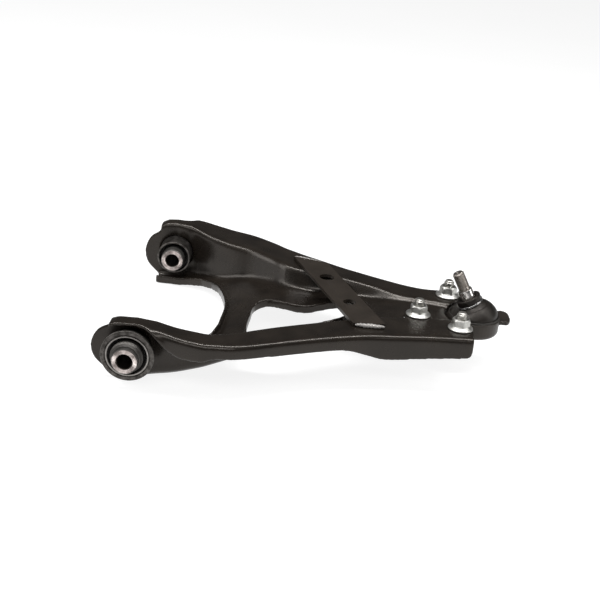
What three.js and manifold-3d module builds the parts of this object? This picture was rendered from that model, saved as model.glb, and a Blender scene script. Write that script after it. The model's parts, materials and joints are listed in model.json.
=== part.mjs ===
// Lower control arm of a car suspension: a pressed steel A-arm with two rubber bushes, a welded cross
// strap and a bolted ball joint. Millimetres. X runs from the bushes out to the ball joint, Y along
// the common bush axis from the front bush to the rear one, Z up. The bush axis is X = Z = 0 while the
// pieces are made; the finished group is moved so that its origin is the centre of its box's base.
import * as THREE from "three";
import { mergeVertices } from "three/addons/utils/BufferGeometryUtils.js";
import Module from "manifold-3d";

// ---- Overall ----
const REACH = 317; // bush axis to ball centre
const DRAWN_REACH = 317; // reach for which the pressing's stations are drawn; they stretch with REACH
const FRONT_WEB_Y = 24; // outer face of the front leg's inner wall, which holds the front bush
const WEB_SPACING = 247; // between the two legs' inner walls
const REAR_WEB_Y = FRONT_WEB_Y + WEB_SPACING;
const BALL_Y = 131;
const TOP_Z = 24; // flat top of both legs, on which the nuts sit
const SHEET = 3; // pressed sheet
const GAP = 0.3; // between pieces that touch

// ---- Pressing ----
const TOP_BEND = 6.5; // radius outside the leg's upper edges
const FOOT_BEND = 7;
const WALL_DRAFT = 8; // how far an inner wall leans in from top to foot
const HOOD_END_X = -19; // bush end of both hoods
const VALLEY_DEPTH = 4.3; // between the legs at the ball joint
const LIP_HEIGHT = 6; // edge turned up round the openings
const LIP_WIDTH = 3;
const BRIDGE_X = 70 * (REACH / DRAWN_REACH); // bush side of the bridge between the legs
const BRIDGE_WIDTH = 29;
const FRONT_END_X = REACH - 4;
const REAR_END_X = REACH - 10;
const PRONG_CORNER = 6; // size of the front prong's rounded lower corner
const TAB_REACH = { front: 38, rear: 35 }; // rounded tab of a web, beyond the bush axis
const TAB_TOP_Z = 19;
const TAB_BOTTOM_Z = -31;
const COLLAR_LENGTH = 9; // drawn collar round a bush hole
const FLANGE_FRONT = 29; // width of the bottom flange beside each web
const FLANGE_REAR = 20;

// ---- Cross strap ----
const STRAP_WIDTH = 29.5;
const STRAP_THICKNESS = 3.2;
// Middle of each end: the share of REACH, and the distance in from the leg's outer edge.
const STRAP_REAR_END = { share: 150 / 317, inset: 21.22 };
const STRAP_FRONT_END = { share: 214 / 317, inset: 20.7 };
// How far an end's outboard corner is ahead of its middle, along the strap.
const STRAP_SKEW_REAR = 11;
const STRAP_SKEW_FRONT = 3.5;
const STRAP_HOLES = [
  { along: 0.3, radius: 7.6 },
  { along: 0.69, radius: 6.4 },
];
const WELD_RADIUS = 2.4;

// ---- Bushes ----
const BORE_RADIUS = 7;
const INNER_SLEEVE_RADIUS = 12.1;
const SLEEVE_RADIUS = 17.8;
const SLEEVE_WALL = 2;
const STOP_RADIUS = SLEEVE_RADIUS - SLEEVE_WALL - 0.6; // rubber end stop on the inner sleeve
const STOP_LENGTH = 7;
const SLEEVE_LENGTH = 46;
const RUBBER_RECESS = 5; // rubber ends below the outer sleeve's rims
const FLANGE_RADIUS = SLEEVE_RADIUS + 6.8;
const FLANGE_THICKNESS = 4;
const FLANGE_STANDOFF = 24; // web's outer face to the flange's face
const PROUD_FLANGE_END = 11.9; // inner sleeve beyond the outer one
const PROUD_PLAIN_END = 9.8;
const HOOD_RISE = SLEEVE_RADIUS - 11.2; // top of the front leg over its bush, above TOP_Z

// ---- Ball joint ----
const BALL_Z = 23;
const BALL_RADIUS = 11;
const STUD_LEAN = THREE.MathUtils.degToRad(28.6); // inboard, as it was left
const NECK_RADIUS = 5.5;
const SHANK_RADIUS = 7.1;
const THREAD_RADIUS = 5.7;
const STUD_NECK = BALL_RADIUS - 1; // distances along the stud from the ball centre
const STUD_SHANK = STUD_NECK + 2.5;
const STUD_THREAD = STUD_SHANK + 14.2;
const STUD_TIP = STUD_THREAD + 18.5;
const HOUSING_RADIUS = BALL_RADIUS + 14.5;
const HOUSING_TOP_Z = 20;
const HOUSING_BOTTOM_Z = 3;
const HOUSING_MOUTH = 0.25 * BALL_RADIUS + 2.25; // top of its neck above the ball centre
const HOUSING_LIP = HOUSING_MOUTH - 1; // rolled edge that holds the seat, above the ball centre
const CUP_RADIUS = BALL_RADIUS + 2.4; // bore that holds the seat
const HOUSING_NECK_RADIUS = CUP_RADIUS + 1.4;
const CAP_THICKNESS = 2;
const DISC_THICKNESS = 1.1;
const CAP_CRIMP = 0.8; // housing edge crimped under the cap
const PLATE_END = -8.5; // outboard edge of the bolting plate, from the ball centre
const LUG_REACH = 37; // beyond the ball centre
const LUG_WIDTH = 29;
const LUG_OFFSET = 11.5; // towards the rear
const LUG_THICKNESS = 4;
const LUG_DROP = 2.5; // its top below the housing's top
const PLATE_THICKNESS = 6;
const PAD_HEIGHT = 5;
const PAD_RADIUS = 12.5;
const BOOT_RADIUS = HOUSING_RADIUS - 1.5;
const BOOT_WALL = 2.2;
const BOOT_NECK = STUD_NECK; // start of the boot's neck, along the stud
const BOOT_NECK_RADIUS = BALL_RADIUS + 0.8;
const BOOT_NECK_LENGTH = 8;
const RING_WIRE = 0.8;

// ---- Fasteners ----
const BOLT_RADIUS = 5;
const BOLT_HEAD_FLATS = 15;
const BOLT_HEAD_HEIGHT = 6;
const BOLT_END = 17; // bolt's end above the nut's seat
const NUT_FLATS = 15.2;
const NUT_FLANGE_RADIUS = 11.9;
const NUT_FLANGE_HEIGHT = 2.6;
const NUT_HEIGHT = 11;
// Bolt centres from the ball centre.
const BOLTS = {
  inboard: new THREE.Vector2(-56, -23),
  rear: new THREE.Vector2(-25, 34),
  front: new THREE.Vector2(-16.5, -45.5),
};

const wasm = await Module();
wasm.setup();

// ---- Solids ----
function solid(geometry) {
  const bare = geometry.index ? geometry.toNonIndexed() : geometry.clone();
  bare.deleteAttribute("normal");
  bare.deleteAttribute("uv");
  const merged = mergeVertices(bare, 1e-4);
  return new wasm.Manifold(
    new wasm.Mesh({
      numProp: 3,
      vertProperties: new Float32Array(merged.attributes.position.array),
      triVerts: new Uint32Array(merged.index.array),
    }),
  );
}

function geometryOf(body) {
  const mesh = body.getMesh();
  const geometry = new THREE.BufferGeometry();
  geometry.setAttribute("position", new THREE.Float32BufferAttribute(mesh.vertProperties, 3));
  geometry.setIndex(Array.from(mesh.triVerts));
  geometry.computeVertexNormals();
  return geometry;
}

const joined = (...bodies) => bodies.reduce((sum, body) => sum.add(body));
const cut = (body, ...tools) => tools.reduce((rest, tool) => rest.subtract(tool), body);

// A lathed body about Z from a closed outline of [radius, height] points, in either direction.
function turned(profile, segments = 32) {
  const points = profile.map(([radius, height]) => new THREE.Vector2(radius, height));
  if (THREE.ShapeUtils.isClockWise(points)) points.reverse();
  return new THREE.LatheGeometry([...points, points[0]], segments).rotateX(Math.PI / 2);
}

// A plan outline raised from one height to another.
function prism(shape, bottom, top, curveSegments = 10) {
  const options = { depth: top - bottom, bevelEnabled: false, curveSegments };
  return new THREE.ExtrudeGeometry(shape, options).translate(0, 0, bottom);
}

// A round bar about Z between two heights.
function bar(radius, bottom, top, segments = 28) {
  const geometry = new THREE.CylinderGeometry(radius, radius, top - bottom, segments);
  return geometry.rotateX(Math.PI / 2).translate(0, 0, (top + bottom) / 2);
}

function hexagon(flats, bottom, top) {
  const corner = flats / Math.sqrt(3);
  return bar(corner, bottom, top, 6);
}

function block(low, high) {
  const size = high.map((value, axis) => value - low[axis]);
  const centre = high.map((value, axis) => (value + low[axis]) / 2);
  return new THREE.BoxGeometry(...size).translate(...centre);
}

// ---- Smooth tracks through a few stations: [x, value] pairs, x drawn for DRAWN_REACH ----
const stretched = (x) => x * (REACH / DRAWN_REACH);
function track(drawn) {
  const stations = drawn.map(([x, value]) => [stretched(x), value]);
  const slope = (a, b) => (b[1] - a[1]) / (b[0] - a[0]);
  const tangents = stations.map((here, i) => {
    const before = stations[Math.max(i - 1, 0)];
    const after = stations[Math.min(i + 1, stations.length - 1)];
    if (before === here || after === here) return slope(before, after);
    const left = slope(before, here);
    const right = slope(here, after);
    return left * right <= 0 ? 0 : (2 * left * right) / (left + right);
  });
  return (x) => {
    const last = stations.length - 1;
    if (x <= stations[0][0]) return stations[0][1];
    if (x >= stations[last][0]) return stations[last][1];
    const i = stations.findIndex((station) => station[0] > x) - 1;
    const span = stations[i + 1][0] - stations[i][0];
    const t = (x - stations[i][0]) / span;
    const rise = stations[i + 1][1] - stations[i][1];
    const bend = (tangents[i] * span - rise) * (1 - t) - (tangents[i + 1] * span - rise) * t;
    return stations[i][1] + rise * t + bend * t * (1 - t);
  };
}

// A leg's middle bows away from the straight line between its web and the ball centre.
function leg(webY, middle, width) {
  const bow = track(middle);
  const across = track(width);
  const side = Math.sign(webY - BALL_Y);
  const centre = (x) => {
    const share = THREE.MathUtils.clamp(x / REACH, 0, 1);
    return THREE.MathUtils.lerp(webY, BALL_Y, share) + bow(x);
  };
  return {
    outer: (x) => centre(x) + (side * across(x)) / 2,
    inner: (x) => centre(x) - (side * across(x)) / 2,
  };
}

const frontLeg = leg(
  FRONT_WEB_Y,
  [
    [-24, -8], [0, -8], [12, -12.5], [22, -18.4], [30, -23.7], [40, -30], [53, -37], [75, -45.5],
    [93, -47], [110, -44.2], [127, -40.2], [152, -35.2], [188, -30], [215, -28], [243, -31],
    [271, -35], [318, -45],
  ],
  [
    [-24, 16], [0, 16], [12, 16], [22, 22], [30, 24], [40, 26], [53, 28], [75, 28], [93, 33],
    [110, 37.5], [127, 39], [152, 39.5], [188, 41], [243, 46], [318, 46],
  ],
);
const rearLeg = leg(
  REAR_WEB_Y,
  [
    [-24, 6], [0, 6], [12, 11.3], [20, 20.5], [36, 26.8], [49, 27.5], [79, 28], [109, 20.5],
    [125, 13.5], [150, 10.2], [193, 11], [219, 10.2], [244, 8], [262, 11], [270, 13.7], [294, 23],
    [318, 32],
  ],
  [
    [-24, 12], [0, 12], [12, 16], [20, 28], [36, 42.5], [49, 46], [79, 49], [125, 51], [150, 46.5],
    [193, 32], [219, 30.5], [244, 34], [270, 31.5], [294, 37], [318, 37],
  ],
);
// Height of each leg's top above TOP_Z where it hoods its bush.
const frontHood = track([
  [-20, HOOD_RISE - 3.1], [-10, HOOD_RISE - 0.1], [5, HOOD_RISE], [22, 5], [34, 3.2], [45, 1.8], [70, 0],
]);
const rearHood = track([
  [-20, HOOD_RISE - 3.1], [-12, HOOD_RISE + 0.9], [0, HOOD_RISE + 1.9], [12, HOOD_RISE + 1.4], [25, 4.4],
  [38, 1.8], [60, 0],
]);
// Height of the floor between the legs: flanges beside the bushes, bridge, and valley.
const floorOf = track([
  [-20, -29], [5, -28.5], [15, -27], [30, -24], [42, -21], [55, -17], [65, -13.5], [75, -9.5],
  [85, -6.5], [97, -3.5], [110, 0], [130, 4], [160, 6], [195, 10], [220, 14], [238, 18],
  [254, TOP_Z - VALLEY_DEPTH], [318, TOP_Z - VALLEY_DEPTH],
]);
const draftOf = track([[22, 0], [80, WALL_DRAFT], [220, WALL_DRAFT], [258, 4]]);
const skirtLength = track([
  [12, 4], [22, 6], [28, 9], [36, 15], [50, 19], [67, 18], [80, 14], [95, 13.8], [110, 13.8],
  [150, 14.2], [185, 14], [200, 16], [213, 20.3], [234, 25], [258, 23.7], [290, 21.8], [318, 20],
]);
const skirtAngle = track([[12, 8], [22, 30], [28, 60], [36, 84], [46, 90]]); // below level

// ---- The pressing's skin ----
const DRAWN_STATIONS = [
  -26, -12, 0, 10, 16, 22, 28, 34, 40, 48, 57, 66, 76, 86, 97, 108, 119, 130, 142, 154, 166, 178,
  190, 202, 214, 226, 238, 250, 262, 276, 290, 304, 320,
];
// Every gap is halved, so that the drawn curves stay smooth.
const STATIONS = DRAWN_STATIONS.flatMap((x, i) => (i ? [(DRAWN_STATIONS[i - 1] + x) / 2, x] : [x]));
const BEND_STEPS = 3;

// Replaces a corner by an arc, limited by the length of the walls beside it.
function rounded(before, corner, after, radius) {
  const toBefore = before.clone().sub(corner);
  const toAfter = after.clone().sub(corner);
  const turn = Math.PI - Math.abs(toBefore.angleTo(toAfter));
  const wanted = radius * Math.tan(turn / 2);
  const setback = Math.min(wanted, 0.48 * toBefore.length(), 0.48 * toAfter.length());
  const start = corner.clone().add(toBefore.normalize().multiplyScalar(setback));
  const end = corner.clone().add(toAfter.normalize().multiplyScalar(setback));
  const points = [];
  for (let i = 0; i <= BEND_STEPS; i++) {
    const t = i / BEND_STEPS;
    const first = start.clone().lerp(corner, t);
    const second = corner.clone().lerp(end, t);
    points.push(first.lerp(second, t));
  }
  return points;
}

// The top face's cross-section at one station, from the front skirt's edge to the rear skirt's edge.
function section(x) {
  const frontTop = TOP_Z + frontHood(x);
  const rearTop = TOP_Z + rearHood(x);
  const floor = floorOf(x);
  const draft = draftOf(x);
  const angle = THREE.MathUtils.degToRad(skirtAngle(x));
  const skirtOut = skirtLength(x) * Math.cos(angle);
  const skirtDown = skirtLength(x) * Math.sin(angle);
  const corners = [
    [frontLeg.outer(x) - skirtOut, frontTop - skirtDown],
    [frontLeg.outer(x), frontTop],
    [frontLeg.inner(x), frontTop],
    [frontLeg.inner(x) + draft, floor],
    [rearLeg.inner(x) - draft, floor],
    [rearLeg.inner(x), rearTop],
    [rearLeg.outer(x), rearTop],
    [rearLeg.outer(x) + skirtOut, rearTop - skirtDown],
  ].map(([y, z]) => new THREE.Vector2(y, z));
  const radii = [TOP_BEND, TOP_BEND, FOOT_BEND, FOOT_BEND, TOP_BEND, TOP_BEND];
  const points = [corners[0]];
  radii.forEach((radius, i) => {
    points.push(...rounded(corners[i], corners[i + 1], corners[i + 2], radius));
  });
  points.push(corners[7]);
  return points.map((point) => new THREE.Vector3(x, point.x, point.y));
}

// A closed body between the pressing's skin raised by `above` and lowered by `below`.
function skin(above, below) {
  const grid = STATIONS.map((x) => section(stretched(x)));
  const rows = grid.length;
  const columns = grid[0].length;
  const normalAt = (row, column) => {
    const ahead = grid[Math.min(row + 1, rows - 1)][column];
    const behind = grid[Math.max(row - 1, 0)][column];
    const right = grid[row][Math.min(column + 1, columns - 1)];
    const left = grid[row][Math.max(column - 1, 0)];
    const alongX = ahead.clone().sub(behind);
    return alongX.cross(right.clone().sub(left)).normalize();
  };
  const positions = [];
  for (const offset of [above, -below]) {
    grid.forEach((points, row) => {
      points.forEach((point, column) => {
        positions.push(...point.clone().addScaledVector(normalAt(row, column), offset).toArray());
      });
    });
  }
  const upper = (row, column) => row * columns + column;
  const lower = (row, column) => rows * columns + upper(row, column);
  const index = [];
  const quad = (a, b, c, d) => index.push(a, b, c, a, c, d);
  for (let row = 0; row < rows - 1; row++) {
    for (let column = 0; column < columns - 1; column++) {
      quad(upper(row, column), upper(row + 1, column), upper(row + 1, column + 1), upper(row, column + 1));
      quad(lower(row, column), lower(row, column + 1), lower(row + 1, column + 1), lower(row + 1, column));
    }
    quad(upper(row, 0), lower(row, 0), lower(row + 1, 0), upper(row + 1, 0));
    const end = columns - 1;
    quad(upper(row, end), upper(row + 1, end), lower(row + 1, end), lower(row, end));
  }
  for (let column = 0; column < columns - 1; column++) {
    const end = rows - 1;
    quad(upper(0, column), upper(0, column + 1), lower(0, column + 1), lower(0, column));
    quad(upper(end, column), lower(end, column), lower(end, column + 1), upper(end, column + 1));
  }
  const geometry = new THREE.BufferGeometry();
  geometry.setAttribute("position", new THREE.Float32BufferAttribute(positions, 3));
  geometry.setIndex(index);
  return solid(geometry);
}

// ---- Openings of the pressing, in plan. `grow` widens them, for the lip round their edge ----
const OUTLINE_POINTS = 44;
function openShape(points, grow) {
  const corners = points.map(([x, y]) => new THREE.Vector3(x, y, 0));
  const curve = new THREE.CatmullRomCurve3(corners, true, "centripetal");
  const outline = curve.getSpacedPoints(OUTLINE_POINTS);
  const moved = outline.slice(0, -1).map((point, i) => {
    const tangent = curve.getTangentAt(i / OUTLINE_POINTS);
    return new THREE.Vector2(point.x + tangent.y * grow, point.y - tangent.x * grow);
  });
  return new THREE.Shape(moved);
}

function throatShape(grow) {
  const front = FRONT_WEB_Y + FLANGE_FRONT;
  const rear = REAR_WEB_Y - FLANGE_REAR;
  const far = -REACH / 2;
  const outline = [
    [far, front], [far / 2, front], [4, front + 1], [33, front + 6], [BRIDGE_X - 6, front + 32],
    [BRIDGE_X - 1, BALL_Y - 8], [BRIDGE_X - 1, BALL_Y + 22], [BRIDGE_X - 10, rear - 55],
    [BRIDGE_X - 20, rear - 30], [30, rear - 9], [4, rear - 2], [far / 2, rear], [far, rear],
  ];
  return openShape(outline, grow);
}

function windowShape(grow) {
  const start = BRIDGE_X + BRIDGE_WIDTH;
  // Steps from the bridge and from the ball's line.
  const outline = [
    [0, -50], [6, -70], [22, -67], [62, -42], [90, -24], [101, -10], [98, 6], [84, 13], [70, 8],
    [52, -1], [30, 7], [12, 17], [2, 8], [0, -15],
  ];
  return openShape(outline.map(([x, y]) => [start + x, BALL_Y + y]), grow);
}

// The upright tab by which a web holds its bush. The sheet lies between y0 and y0 + SHEET.
function webTab(y0, reach) {
  const shape = new THREE.Shape();
  const middle = (TAB_TOP_Z + TAB_BOTTOM_Z) / 2;
  shape.moveTo(HOOD_END_X + 2, TAB_BOTTOM_Z);
  shape.lineTo(HOOD_END_X + 2, TAB_TOP_Z + 5);
  shape.lineTo(HOOD_END_X - 4, TAB_TOP_Z);
  shape.quadraticCurveTo(-reach + 3, TAB_TOP_Z - 4, -reach, middle + 6);
  shape.quadraticCurveTo(-reach - 1, middle - 8, HOOD_END_X - 8, TAB_BOTTOM_Z + 9);
  shape.quadraticCurveTo(HOOD_END_X - 1, TAB_BOTTOM_Z + 3, HOOD_END_X + 2, TAB_BOTTOM_Z);
  const options = { depth: SHEET, bevelEnabled: false, curveSegments: 8 };
  return new THREE.ExtrudeGeometry(shape, options).rotateX(Math.PI / 2).translate(0, y0 + SHEET, 0);
}

const aboutY = (geometry, y) => geometry.rotateX(-Math.PI / 2).translate(0, y, 0);

function pressing() {
  const holeRadius = SLEEVE_RADIUS + GAP;
  const tall = [-80, 80];
  let sheet = skin(0, SHEET);
  const lips = [throatShape, windowShape].map((outline) => {
    const ring = cut(solid(prism(outline(LIP_WIDTH), ...tall)), solid(prism(outline(0), ...tall)));
    return ring.intersect(skin(LIP_HEIGHT, SHEET / 2));
  });
  const middle = block([-60, FRONT_WEB_Y + 15, -80], [REACH - 90, REAR_WEB_Y - 15, TOP_Z - 1]);
  sheet = cut(sheet, solid(prism(throatShape(0), ...tall)), solid(prism(windowShape(0), ...tall)));
  sheet = joined(sheet, ...lips.map((lip) => lip.intersect(solid(middle))));
  sheet = cut(sheet, solid(block([-80, -80, -80], [HOOD_END_X, REAR_WEB_Y + 80, 80])));
  for (const [end, webStart] of Object.entries({ front: FRONT_WEB_Y - SHEET, rear: REAR_WEB_Y })) {
    const collar = bar(holeRadius + SHEET, 0, SHEET + COLLAR_LENGTH);
    sheet = joined(sheet, solid(webTab(webStart, TAB_REACH[end])), solid(aboutY(collar, webStart)));
    const hole = bar(holeRadius, -2 * SHEET, SHEET + 2 * COLLAR_LENGTH);
    sheet = cut(sheet, solid(aboutY(hole, webStart)));
  }
  // The front prong's lower outboard corner is round.
  const skirtFoot = TOP_Z - skirtLength(FRONT_END_X);
  const corner = new THREE.Shape();
  corner.moveTo(FRONT_END_X - PRONG_CORNER, skirtFoot - 1);
  corner.lineTo(FRONT_END_X - PRONG_CORNER, skirtFoot);
  corner.quadraticCurveTo(FRONT_END_X, skirtFoot, FRONT_END_X, skirtFoot + PRONG_CORNER);
  corner.lineTo(FRONT_END_X + 1, skirtFoot + PRONG_CORNER);
  corner.lineTo(FRONT_END_X + 1, skirtFoot - 1);
  const cornerCut = new THREE.ExtrudeGeometry(corner, { depth: BALL_Y, bevelEnabled: false, curveSegments: 6 });
  sheet = cut(sheet, solid(cornerCut.rotateX(Math.PI / 2).translate(0, BALL_Y, 0)));
  // Outboard end: the front prong is longer than the rear one, and the ball joint stands between them.
  sheet = cut(
    sheet,
    solid(block([FRONT_END_X, -80, -80], [REACH + 80, BALL_Y, 80])),
    solid(block([REAR_END_X, BALL_Y, -80], [REACH + 80, REAR_WEB_Y + 80, 80])),
    solid(bar(HOUSING_RADIUS + 2, -80, 80, 40).translate(REACH, BALL_Y, 0)),
  );
  const pad = BOLTS.inboard.clone().add(new THREE.Vector2(REACH, BALL_Y));
  const padBar = (bottom, top) => solid(bar(PAD_RADIUS + 1, bottom, top).translate(pad.x, pad.y, 0));
  sheet = cut(sheet, padBar(TOP_Z - 20, TOP_Z - SHEET)).add(padBar(TOP_Z - SHEET, TOP_Z));
  for (const centre of Object.values(BOLTS)) {
    const hole = bar(BOLT_RADIUS + 2 * GAP, TOP_Z - 20, TOP_Z + 20, 20);
    sheet = sheet.subtract(solid(hole.translate(REACH + centre.x, BALL_Y + centre.y, 0)));
  }
  return sheet;
}

// ---- Cross strap, lying on both legs with its ends cut parallel to them ----
function strapEnd(side, { share, inset }) {
  const x = share * REACH;
  const inward = Math.sign(side.inner(x) - side.outer(x));
  return new THREE.Vector2(x, side.outer(x) + inward * inset);
}
const strapRear = strapEnd(rearLeg, STRAP_REAR_END);
const strapFront = strapEnd(frontLeg, STRAP_FRONT_END);
const strapAxis = strapFront.clone().sub(strapRear);
const strapSide = new THREE.Vector2(-strapAxis.y, strapAxis.x).setLength(STRAP_WIDTH / 2);
function strapCorners() {
  const along = strapAxis.clone().normalize();
  const corner = (end, side, skew) => {
    return end.clone().addScaledVector(strapSide, side).addScaledVector(along, side * skew);
  };
  return {
    rearInboard: corner(strapRear, -1, STRAP_SKEW_REAR),
    rearOutboard: corner(strapRear, 1, STRAP_SKEW_REAR),
    frontOutboard: corner(strapFront, 1, STRAP_SKEW_FRONT),
    frontInboard: corner(strapFront, -1, STRAP_SKEW_FRONT),
  };
}

function strap() {
  const { rearInboard, rearOutboard, frontOutboard, frontInboard } = strapCorners();
  const shape = new THREE.Shape([rearInboard, rearOutboard, frontOutboard, frontInboard]);
  const bottom = TOP_Z + GAP;
  const body = solid(prism(shape, bottom, bottom + STRAP_THICKNESS));
  const holes = STRAP_HOLES.map(({ along, radius }) => {
    const centre = strapRear.clone().addScaledVector(strapAxis, along);
    return solid(bar(radius, bottom - 5, bottom + 10, 24).translate(centre.x, centre.y, 0));
  });
  return geometryOf(cut(body, ...holes));
}

// A fillet weld along one end of the strap, clear of the strap by GAP.
function weld(from, to, outward) {
  const run = to.clone().sub(from);
  const start = from.clone().addScaledVector(run, 0.06);
  const end = from.clone().addScaledVector(run, 0.94);
  const shape = new THREE.Shape();
  shape.moveTo(0, 0);
  shape.lineTo(WELD_RADIUS * 1.5, 0);
  shape.quadraticCurveTo(WELD_RADIUS * 1.2, WELD_RADIUS * 1.2, 0, WELD_RADIUS * 1.3);
  const length = start.distanceTo(end);
  const options = { depth: length, bevelEnabled: false, curveSegments: 4 };
  const geometry = new THREE.ExtrudeGeometry(shape, options);
  const out = outward.clone().normalize();
  const along = end.clone().sub(start).normalize();
  const frame = new THREE.Matrix4().makeBasis(
    new THREE.Vector3(out.x, out.y, 0),
    new THREE.Vector3(0, 0, 1),
    new THREE.Vector3(along.x, along.y, 0),
  );
  const foot = start.addScaledVector(out, GAP);
  frame.setPosition(foot.x, foot.y, TOP_Z + GAP);
  return geometry.applyMatrix4(frame);
}

// ---- Bushes: built about Z with the flange's face at 0, then laid along the bush axis ----
function bushPieces() {
  const inside = SLEEVE_RADIUS - SLEEVE_WALL;
  const rubberTop = RUBBER_RECESS;
  const rubberFoot = SLEEVE_LENGTH - RUBBER_RECESS;
  const sleeveFoot = SLEEVE_LENGTH + PROUD_PLAIN_END;
  const rubberBore = INNER_SLEEVE_RADIUS + GAP;
  return {
    outer_sleeve: turned([
      [inside, 0], [FLANGE_RADIUS, 0], [FLANGE_RADIUS, FLANGE_THICKNESS], [SLEEVE_RADIUS, FLANGE_THICKNESS],
      [SLEEVE_RADIUS, SLEEVE_LENGTH], [inside, SLEEVE_LENGTH],
    ], 40),
    rubber: turned([
      [rubberBore, rubberTop], [inside - GAP, rubberTop], [inside - GAP, rubberFoot],
      [rubberBore, rubberFoot],
    ]),
    inner_sleeve: turned([
      [BORE_RADIUS, -PROUD_FLANGE_END], [INNER_SLEEVE_RADIUS, -PROUD_FLANGE_END],
      [INNER_SLEEVE_RADIUS, sleeveFoot], [BORE_RADIUS, sleeveFoot],
    ]),
    end_stop: turned([
      [rubberBore, -STOP_LENGTH], [STOP_RADIUS, -STOP_LENGTH], [STOP_RADIUS, rubberTop - GAP],
      [rubberBore, rubberTop - GAP],
    ]),
  };
}

// ---- Ball joint, about Z through the ball centre ----
function housing() {
  const lip = BALL_Z + HOUSING_LIP;
  const mouth = BALL_Z + HOUSING_MOUTH;
  const foot = HOUSING_BOTTOM_Z;
  const crimp = CUP_RADIUS - 1.5;
  const body = solid(turned([
    [BALL_RADIUS - GAP, lip], [BALL_RADIUS - GAP, mouth], [BALL_RADIUS + 0.8, mouth],
    [HOUSING_NECK_RADIUS, mouth - 3], [HOUSING_NECK_RADIUS, HOUSING_TOP_Z], [HOUSING_RADIUS, HOUSING_TOP_Z],
    [HOUSING_RADIUS, foot + 4], [HOUSING_RADIUS - 1.5, foot + 1.2], [HOUSING_RADIUS - 5, foot],
    [crimp, foot], [crimp, foot + CAP_CRIMP], [CUP_RADIUS, foot + CAP_CRIMP], [CUP_RADIUS, lip],
  ], 40));
  const plateTop = TOP_Z - SHEET - GAP - PAD_HEIGHT;
  const plateBottom = plateTop - PLATE_THICKNESS;
  // The bolting plate spans the three bolts' pads.
  const outline = new THREE.Shape();
  const order = [BOLTS.inboard, BOLTS.front, BOLTS.rear];
  const hull = [];
  for (const centre of order) {
    for (let i = 0; i < 12; i++) {
      const spoke = new THREE.Vector2(PAD_RADIUS, 0);
      hull.push(spoke.rotateAround(new THREE.Vector2(), (i / 12) * 2 * Math.PI).add(centre));
    }
  }
  outline.setFromPoints(convexOutline(hull));
  let forging = solid(prism(outline, plateBottom, plateTop));
  for (const centre of order) {
    const pad = bar(PAD_RADIUS, plateBottom, plateTop + PAD_HEIGHT);
    forging = forging.add(solid(pad.translate(centre.x, centre.y, 0)));
  }
  forging = forging.intersect(solid(block([-200, -100, -50], [PLATE_END, 100, 50])));
  forging = forging.subtract(solid(bar(HOUSING_RADIUS - 1, plateBottom - 1, plateTop + 1, 40)));
  forging = forging.add(body);
  const lugTop = HOUSING_TOP_Z - LUG_DROP;
  const lug = new THREE.Shape();
  const rear = LUG_OFFSET + LUG_WIDTH / 2;
  const front = LUG_OFFSET - LUG_WIDTH / 2;
  lug.moveTo(HOUSING_RADIUS - 12, front);
  lug.lineTo(LUG_REACH - 5, front);
  lug.quadraticCurveTo(LUG_REACH, front + 2, LUG_REACH, front + 12);
  lug.lineTo(LUG_REACH - 1, rear - 6);
  lug.quadraticCurveTo(LUG_REACH - 3, rear, LUG_REACH - 9, rear);
  lug.lineTo(HOUSING_RADIUS - 12, rear - 8);
  const lugPlate = solid(prism(lug, lugTop - LUG_THICKNESS, lugTop));
  forging = forging.add(cut(lugPlate, solid(bar(HOUSING_RADIUS - 2, -20, 40))));
  for (const centre of order) {
    const hole = bar(BOLT_RADIUS + GAP, plateBottom - 5, TOP_Z, 20).translate(centre.x, centre.y, 0);
    forging = forging.subtract(solid(hole));
  }
  return geometryOf(forging);
}

// The convex outline of a set of points, by the monotone chain.
function convexOutline(points) {
  const sorted = [...points].sort((a, b) => a.x - b.x || a.y - b.y);
  const turn = (o, a, b) => (a.x - o.x) * (b.y - o.y) - (a.y - o.y) * (b.x - o.x);
  const chain = (list) => {
    const kept = [];
    for (const point of list) {
      while (kept.length > 1 && turn(kept.at(-2), kept.at(-1), point) <= 1e-6) kept.pop();
      kept.push(point);
    }
    kept.pop();
    return kept;
  };
  return [...chain(sorted), ...chain([...sorted].reverse())];
}

function ballSeat() {
  const inner = BALL_RADIUS + GAP;
  const outer = CUP_RADIUS - GAP;
  const profile = [];
  for (let angle = 18; angle >= -60; angle -= 13) {
    const turn = THREE.MathUtils.degToRad(angle);
    profile.push([inner * Math.cos(turn), BALL_Z + inner * Math.sin(turn)]);
  }
  const bottom = BALL_Z - BALL_RADIUS + 0.6;
  profile.push([5.2, bottom], [outer, bottom], [outer, BALL_Z + HOUSING_LIP - GAP]);
  return turned(profile);
}

const capBottom = HOUSING_BOTTOM_Z + CAP_CRIMP + GAP;
function pressureDisc() {
  const top = BALL_Z - BALL_RADIUS - GAP;
  const bottom = top - DISC_THICKNESS;
  return turned([[2.5, bottom], [CUP_RADIUS - GAP, bottom], [CUP_RADIUS - GAP, top], [2.5, top]]);
}

function closingCap() {
  return bar(CUP_RADIUS - GAP, capBottom, capBottom + CAP_THICKNESS);
}

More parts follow.
